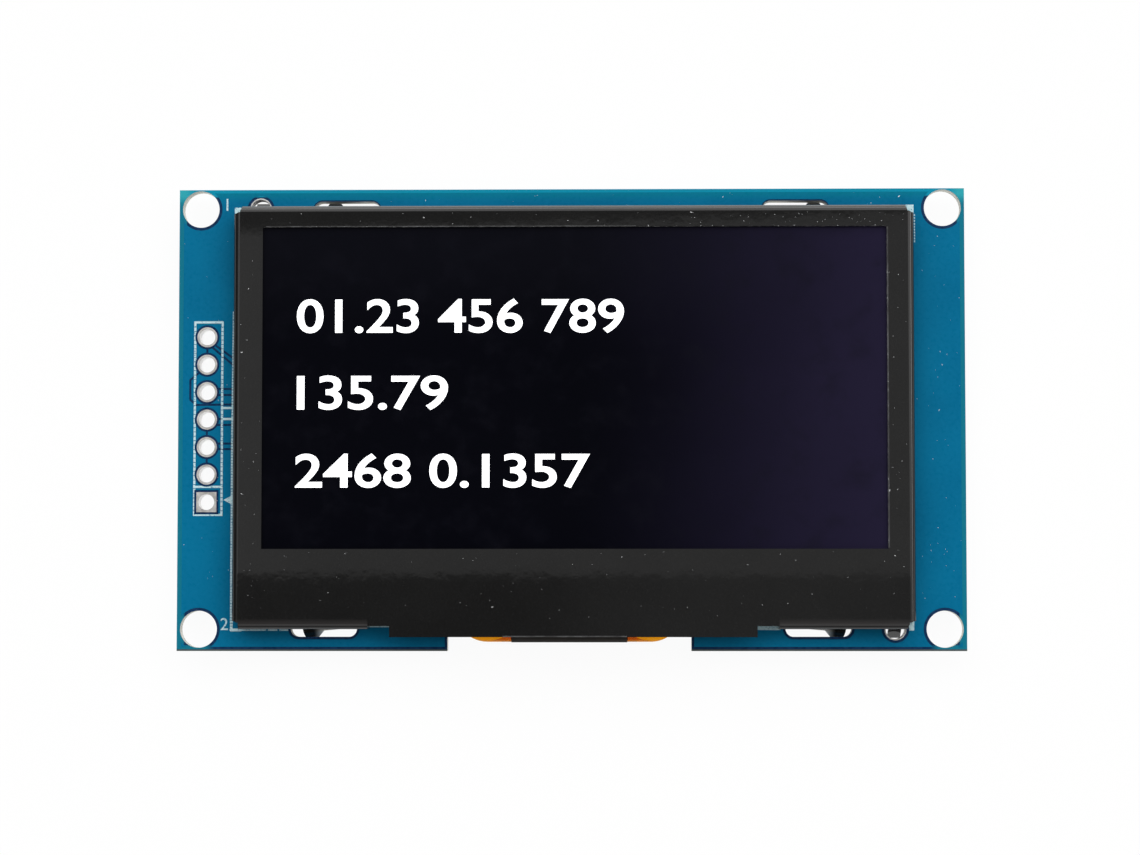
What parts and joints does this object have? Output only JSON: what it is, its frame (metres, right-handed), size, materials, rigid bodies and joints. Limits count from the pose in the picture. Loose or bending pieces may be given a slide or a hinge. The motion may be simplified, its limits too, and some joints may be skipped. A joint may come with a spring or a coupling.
{
  "type": "display module",
  "caption": "Thin light-emitting display panel in a black folded sheet-metal bezel, fixed by twisted tabs to a blue circuit board with corner holes and a row of header holes.",
  "frame": {"origin": "centre of the circuit board's outline in X and Y, at the tips of the twisted tabs in Z", "axes": "+X to the right along the board's long side as the screen is read, +Y to the top of the picture, +Z out of the screen"},
  "size_m": [0.0724, 0.0426, 0.0059],
  "materials": {
    "board_laminate": "blue solder mask, semi-gloss",
    "bezel_paint": "satin black",
    "tinned_metal": "tin plating",
    "polarizer_film": "gloss dark film",
    "panel_glass": "clear, coated",
    "emitter_layer": "thin film",
    "sealant": "cured resin",
    "desiccant": "matt",
    "silicon": "polished die",
    "tape_foam": "matt",
    "polyimide": "amber film",
    "cover_film": "black film",
    "package_resin": "moulded, matt",
    "ferrite": "matt grey",
    "winding_coat": "varnished",
    "capacitor_body": "matt tan",
    "resistor_body": "black glaze",
    "solder": "bright solder"
  },
  "bodies": {
    "root": {"circuit_board": "board_laminate", "header_plating": "tinned_metal", "leg_hole_plating": "tinned_metal", "bezel": "bezel_paint", "polarizer": "polarizer_film", "front_glass": "panel_glass", "emitter_film": "emitter_layer", "edge_seal": "sealant", "desiccant_sheet": "desiccant", "rear_glass": "panel_glass", "driver_chip": "silicon", "left_tape": "tape_foam", "right_tape": "tape_foam", "flex_cable": "polyimide", "flex_cover": "cover_film", "flex_solder_joints": "solder", "boost_converter": "package_resin", "boost_converter_leads": "tinned_metal", "voltage_regulator": "package_resin", "voltage_regulator_leads": "tinned_metal", "rectifier_diode": "package_resin", "rectifier_diode_leads": "tinned_metal", "inductor_core": "ferrite", "inductor_winding": "winding_coat", "boost_input_capacitor": "capacitor_body", "boost_output_capacitor": "capacitor_body", "panel_supply_capacitor": "capacitor_body", "common_voltage_capacitor": "capacitor_body", "regulator_input_capacitor": "capacitor_body", "regulator_output_capacitor": "capacitor_body", "logic_supply_capacitor": "capacitor_body", "reset_capacitor": "capacitor_body", "feedback_upper_resistor": "resistor_body", "feedback_lower_resistor": "resistor_body", "current_reference_resistor": "resistor_body", "reset_resistor": "resistor_body", "interface_resistor_1": "resistor_body", "interface_resistor_2": "resistor_body", "chip_terminations": "tinned_metal", "solder_fillets": "solder", "board_lands": "tinned_metal"}
  },
  "joints": []
}
